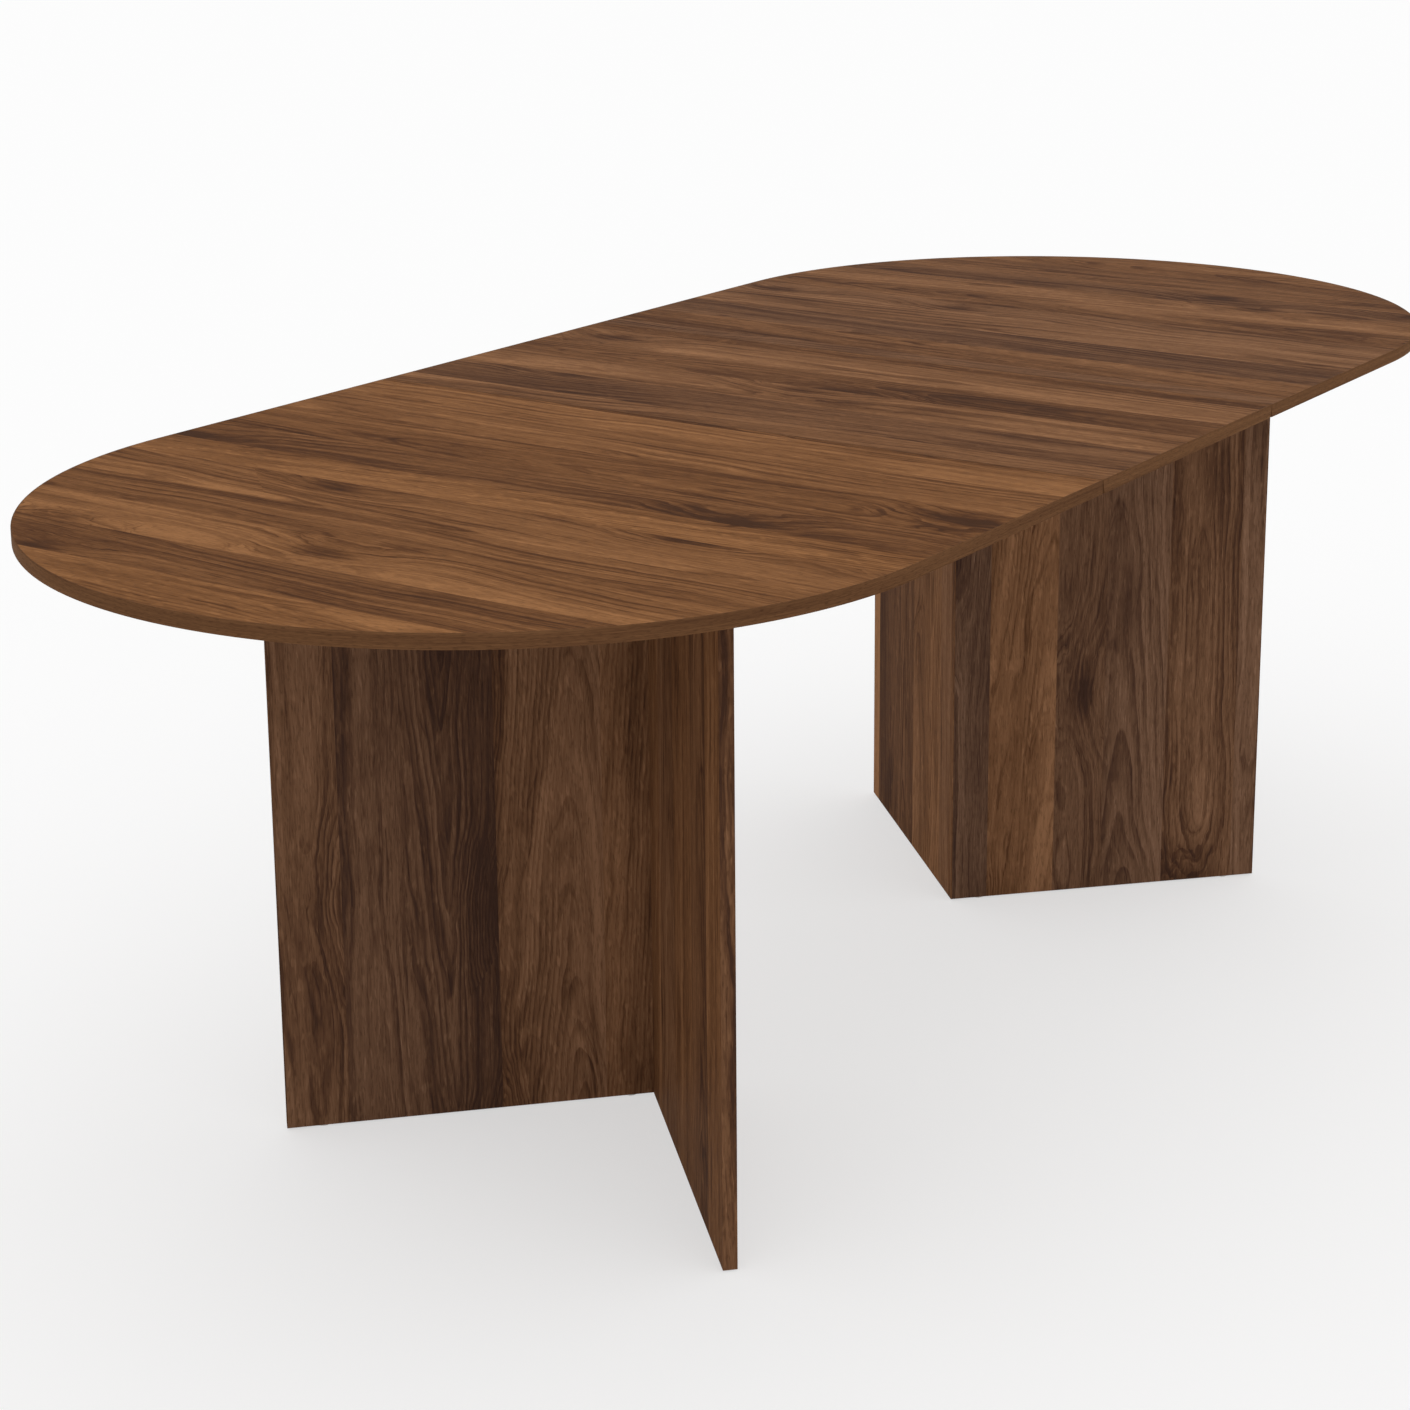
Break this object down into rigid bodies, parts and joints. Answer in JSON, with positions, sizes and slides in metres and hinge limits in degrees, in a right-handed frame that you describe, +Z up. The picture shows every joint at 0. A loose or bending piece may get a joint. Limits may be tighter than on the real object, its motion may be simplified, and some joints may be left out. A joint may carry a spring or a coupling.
{
  "type": "extendable dining table",
  "caption": "Extendable dining table: thin stadium-shaped walnut top with a lift-out leaf, on V-shaped panel pedestals with a hidden sliding frame.",
  "frame": {"origin": "on the floor, under the middle of the top", "axes": "+X along the table's length, +Z up, -Y towards the long side seen in the picture"},
  "size_m": [2.14, 0.954, 0.75],
  "materials": {
    "walnut_board": "semi-matte walnut veneer in staves on a thin board",
    "walnut_edge_band": "semi-matte walnut edge band, grain along the edge",
    "beech_frame": "plain sanded beech",
    "beech_dowel": "fluted raw beech",
    "zinc_steel": "bright zinc plate",
    "bracket_steel": "matt black powder coat",
    "screw_steel": "zinc plate",
    "bearing_steel": "polished",
    "cage_steel": "plain pressed steel",
    "lever_paint": "black enamel",
    "black_nylon": "moulded nylon",
    "black_plastic": "moulded plastic",
    "white_nylon": "smooth low-friction plastic"
  },
  "bodies": {
    "base": {"left_back_leg_panel": "walnut_board", "left_front_leg_panel": "walnut_board", "left_leg_edge_bands": "walnut_edge_band", "right_front_leg_panel": "walnut_board", "right_back_leg_panel": "walnut_board", "right_leg_edge_bands": "walnut_edge_band", "front_rail": "beech_frame", "back_rail": "beech_frame", "left_beam": "beech_frame", "centre_beam": "beech_frame", "right_beam": "beech_frame", "beam_screws": "screw_steel", "leaf_rest_pads": "white_nylon", "leg_top_pads": "white_nylon", "rail_brackets": "bracket_steel", "corner_angles": "bracket_steel", "bracket_screws": "screw_steel", "corner_dowels": "beech_dowel", "foot_glides": "black_plastic", "left_slide_channels": "zinc_steel", "right_slide_channels": "zinc_steel", "channel_screws": "screw_steel", "pinion_axle": "zinc_steel", "pinion_spacer": "black_nylon"},
    "leaf": {"leaf_board": "walnut_board", "leaf_edge_bands": "walnut_edge_band", "leaf_keepers": "zinc_steel", "leaf_steady_blocks": "beech_frame", "leaf_screws": "screw_steel"},
    "sync_pinion": {"sync_pinion": "black_nylon"},
    "left_top": {"left_top_board": "walnut_board", "left_top_edge_bands": "walnut_edge_band", "left_battens": "beech_frame", "left_batten_screws": "screw_steel", "left_slide_runners": "zinc_steel", "left_runner_screws": "screw_steel", "left_rack": "black_nylon", "left_rack_block": "beech_frame", "left_lock_plates": "zinc_steel", "left_lock_pivots": "zinc_steel", "left_fitting_screws": "screw_steel"},
    "left_cages": {"left_ball_cages": "cage_steel", "left_slide_balls": "bearing_steel"},
    "left_front_lever": {"left_front_lock_lever": "lever_paint"},
    "left_back_lever": {"left_back_lock_lever": "lever_paint"},
    "right_top": {"right_top_board": "walnut_board", "right_top_edge_bands": "walnut_edge_band", "right_battens": "beech_frame", "right_batten_screws": "screw_steel", "right_slide_runners": "zinc_steel", "right_runner_screws": "screw_steel", "right_rack": "black_nylon", "right_rack_block": "beech_frame", "right_lock_plates": "zinc_steel", "right_lock_pivots": "zinc_steel", "right_fitting_screws": "screw_steel"},
    "right_cages": {"right_ball_cages": "cage_steel", "right_slide_balls": "bearing_steel"},
    "right_front_lever": {"right_front_lock_lever": "lever_paint"},
    "right_back_lever": {"right_back_lock_lever": "lever_paint"}
  },
  "joints": [
    {"name": "left_top_slide", "type": "slide", "parent": "base", "child": "left_top", "axis": [1, 0, 0], "range_m": [0, 0.215]},
    {"name": "right_top_slide", "type": "slide", "parent": "base", "child": "right_top", "axis": [-1, 0, 0], "range_m": [0, 0.215]},
    {"name": "leaf_lift", "type": "slide", "parent": "base", "child": "leaf", "axis": [0, 0, 1], "range_m": [0, 0.85]},
    {"name": "left_cage_roll", "type": "slide", "parent": "base", "child": "left_cages", "axis": [1, 0, 0], "range_m": [0, 0.1075]},
    {"name": "right_cage_roll", "type": "slide", "parent": "base", "child": "right_cages", "axis": [-1, 0, 0], "range_m": [0, 0.1075]},
    {"name": "sync_pinion_turn", "type": "hinge", "parent": "base", "child": "sync_pinion", "pos_m": [0, 0, 0.72], "axis": [0, 0, 1], "range_deg": [-620, 0]},
    {"name": "left_front_lock_turn", "type": "hinge", "parent": "left_top", "child": "left_front_lever", "pos_m": [-0.245, -0.29, 0.7285], "axis": [0, 0, 1], "range_deg": [0, 90]},
    {"name": "left_back_lock_turn", "type": "hinge", "parent": "left_top", "child": "left_back_lever", "pos_m": [-0.245, 0.29, 0.7285], "axis": [0, 0, 1], "range_deg": [-90, 0]},
    {"name": "right_front_lock_turn", "type": "hinge", "parent": "right_top", "child": "right_front_lever", "pos_m": [0.245, -0.35, 0.7285], "axis": [0, 0, 1], "range_deg": [0, 90]},
    {"name": "right_back_lock_turn", "type": "hinge", "parent": "right_top", "child": "right_back_lever", "pos_m": [0.245, 0.35, 0.7285], "axis": [0, 0, 1], "range_deg": [-90, 0]}
  ],
  "couplings": [
    {"joint": "right_top_slide", "follows": "left_top_slide", "ratio": 1},
    {"joint": "leaf_lift", "follows": "left_top_slide", "ratio": 3.95},
    {"joint": "left_cage_roll", "follows": "left_top_slide", "ratio": 0.5},
    {"joint": "right_cage_roll", "follows": "left_top_slide", "ratio": 0.5},
    {"joint": "sync_pinion_turn", "follows": "left_top_slide", "rad_per_m": -50}
  ]
}
